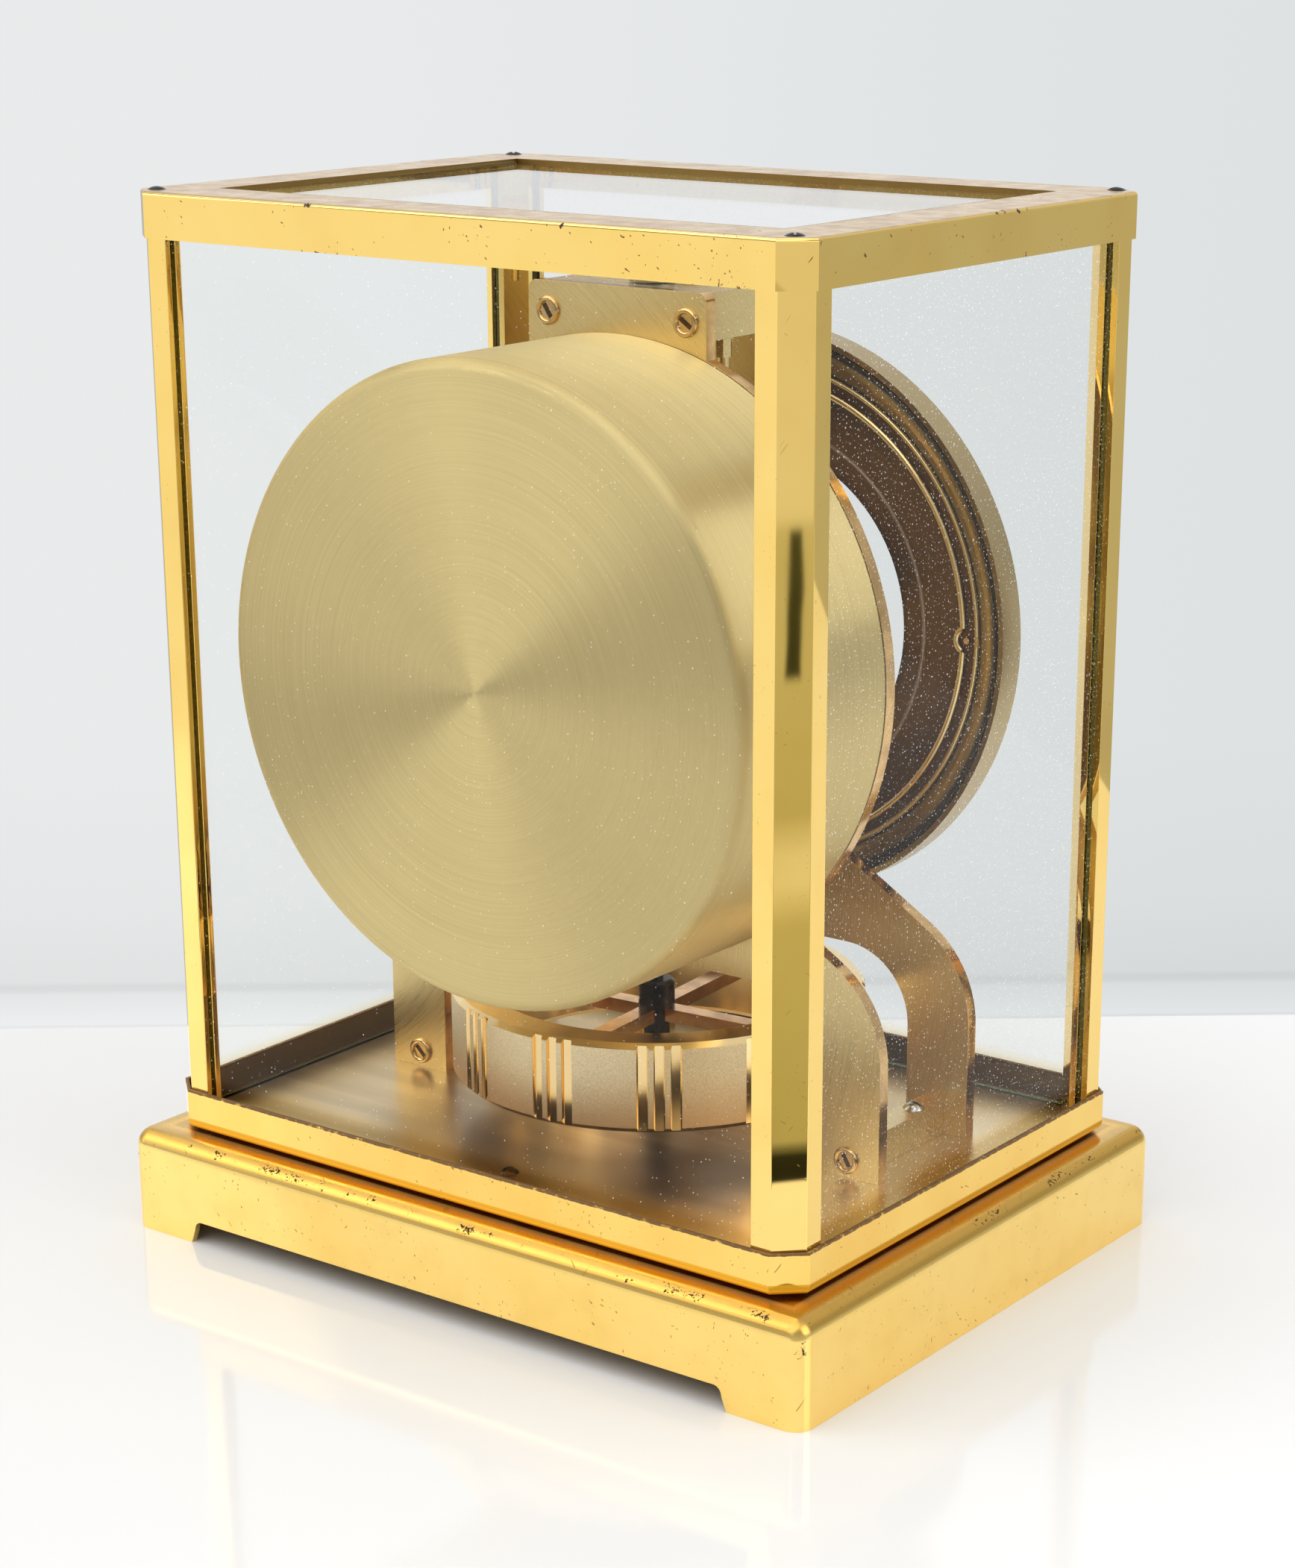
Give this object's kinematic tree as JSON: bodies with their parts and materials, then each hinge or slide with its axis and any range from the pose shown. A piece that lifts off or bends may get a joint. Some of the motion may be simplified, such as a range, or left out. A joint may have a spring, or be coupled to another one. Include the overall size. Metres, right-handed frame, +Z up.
{
  "type": "mantel clock",
  "caption": "Glazed skeleton mantel clock on a footed plinth, with a drum-backed movement, an open dial ring and a torsion pendulum ring that swings under it.",
  "frame": {"origin": "on the ground under the middle of the plinth", "axes": "+Z up; the dial faces -Y, the drum faces +Y; +X is the left side seen from behind"},
  "size_m": [0.181, 0.1366, 0.2256],
  "materials": {
    "gilt_brass": "polished gilt brass",
    "satin_floor": "satin tan brass",
    "drum_brass": "pale brass, turned and brushed",
    "plate_brass": "brass grained in arcs with polished edges",
    "satin_brass": "satin brass",
    "train_brass": "polished brass",
    "dial_dark": "dark brown lacquer with gilt edges",
    "marker_brass": "polished brass",
    "ring_brass": "frosted rose brass with polished flutes",
    "spoke_copper": "coppery brass",
    "dark_steel": "blackened steel",
    "steel": "polished steel",
    "ruby": "polished synthetic stone",
    "pane_glass": "clear plate glass"
  },
  "bodies": {
    "case": {"plinth": "gilt_brass", "rim": "gilt_brass", "floor_plate": "satin_floor", "post_rear_left": "gilt_brass", "post_rear_right": "gilt_brass", "post_front_left": "gilt_brass", "post_front_right": "gilt_brass", "cap": "gilt_brass", "cap_screws": "dark_steel", "top_glass": "pane_glass", "rear_glass": "pane_glass", "left_glass": "pane_glass", "right_glass": "pane_glass", "base_screws": "steel", "rear_plate": "plate_brass", "front_plate": "plate_brass", "foot_bars": "satin_brass", "bar_screws": "steel", "top_block": "satin_brass", "plate_screws": "steel", "drum": "drum_brass", "dial_ring": "dial_dark", "hour_markers": "marker_brass", "dial_pillars": "satin_brass", "suspension_head": "satin_brass", "block_studs": "satin_brass", "train_bridge": "satin_brass", "bridge_pillars": "satin_brass", "escape_cage": "satin_brass", "bushes": "ruby", "floor_screw": "steel", "level_cup": "gilt_brass", "level_glass": "pane_glass", "bearing_post": "satin_brass", "barrel_arbor": "steel", "minute_stud": "steel", "lock_screw": "steel"},
    "pane": {"front_glass": "pane_glass", "pane_knob": "gilt_brass"},
    "bellows": {"bellows": "spoke_copper"},
    "pendulum": {"pendulum_ring": "ring_brass", "pendulum_spokes": "spoke_copper", "pendulum_hub": "dark_steel", "torsion_wire": "steel", "roller": "steel"},
    "barrel": {"barrel": "train_brass", "mainspring": "steel"},
    "centre": {"centre_arbor": "steel", "crown_wheel": "train_brass", "minute_hand": "dark_steel"},
    "minute_wheel": {"minute_wheel": "train_brass"},
    "hour": {"hour_wheel": "train_brass", "hour_hand": "dark_steel"},
    "escape": {"escape_arbor": "steel", "escape_wheel": "train_brass"},
    "fork": {"pallet_fork": "steel"},
    "lock": {"lock_lever": "gilt_brass"},
    "foot_left": {"foot_left": "gilt_brass"},
    "foot_right": {"foot_right": "gilt_brass"},
    "rate": {"rate_lever": "steel"}
  },
  "joints": [
    {"name": "pane_lift", "type": "slide", "parent": "case", "child": "pane", "axis": [0, 0, 1], "range_m": [0, 0.006]},
    {"name": "bellows_breathe", "type": "slide", "parent": "case", "child": "bellows", "axis": [0, 1, 0], "range_m": [0, 0.003]},
    {"name": "pendulum_swing", "type": "hinge", "parent": "case", "child": "pendulum", "pos_m": [0, -0.006, 0.046], "axis": [0, 0, 1], "range_deg": [-270, 270]},
    {"name": "centre_spin", "type": "hinge", "parent": "case", "child": "centre", "pos_m": [0, 0, 0.131], "axis": [0, 1, 0], "continuous": true},
    {"name": "barrel_spin", "type": "hinge", "parent": "case", "child": "barrel", "pos_m": [0, 0, 0.152], "axis": [0, 1, 0], "continuous": true},
    {"name": "minute_wheel_spin", "type": "hinge", "parent": "case", "child": "minute_wheel", "pos_m": [-0.00707, 0, 0.12393], "axis": [0, 1, 0], "continuous": true},
    {"name": "hour_spin", "type": "hinge", "parent": "case", "child": "hour", "pos_m": [0, 0, 0.131], "axis": [0, 1, 0], "continuous": true},
    {"name": "escape_spin", "type": "hinge", "parent": "case", "child": "escape", "pos_m": [0, -0.02, 0.0764], "axis": [0, 0, 1], "continuous": true},
    {"name": "fork_rock", "type": "hinge", "parent": "case", "child": "fork", "pos_m": [0, -0.0122, 0.0764], "axis": [0, 0, 1], "range_deg": [-3, 3]},
    {"name": "lock_turn", "type": "hinge", "parent": "case", "child": "lock", "pos_m": [-0.02, -0.0505, 0.029], "axis": [0, 0, 1], "range_deg": [0, 30]},
    {"name": "foot_left_turn", "type": "hinge", "parent": "case", "child": "foot_left", "pos_m": [0.06, -0.046, 0.002], "axis": [0, 0, 1], "continuous": true},
    {"name": "foot_right_turn", "type": "hinge", "parent": "case", "child": "foot_right", "pos_m": [-0.06, -0.046, 0.002], "axis": [0, 0, 1], "continuous": true},
    {"name": "rate_turn", "type": "hinge", "parent": "case", "child": "rate", "pos_m": [0, -0.006, 0.2074], "axis": [0, 0, 1], "range_deg": [-30, 30]}
  ],
  "couplings": [
    {"joint": "barrel_spin", "follows": "centre_spin", "ratio": -0.16667},
    {"joint": "minute_wheel_spin", "follows": "centre_spin", "ratio": -0.33333},
    {"joint": "hour_spin", "follows": "centre_spin", "ratio": 0.083333},
    {"joint": "escape_spin", "follows": "centre_spin", "ratio": -4}
  ]
}
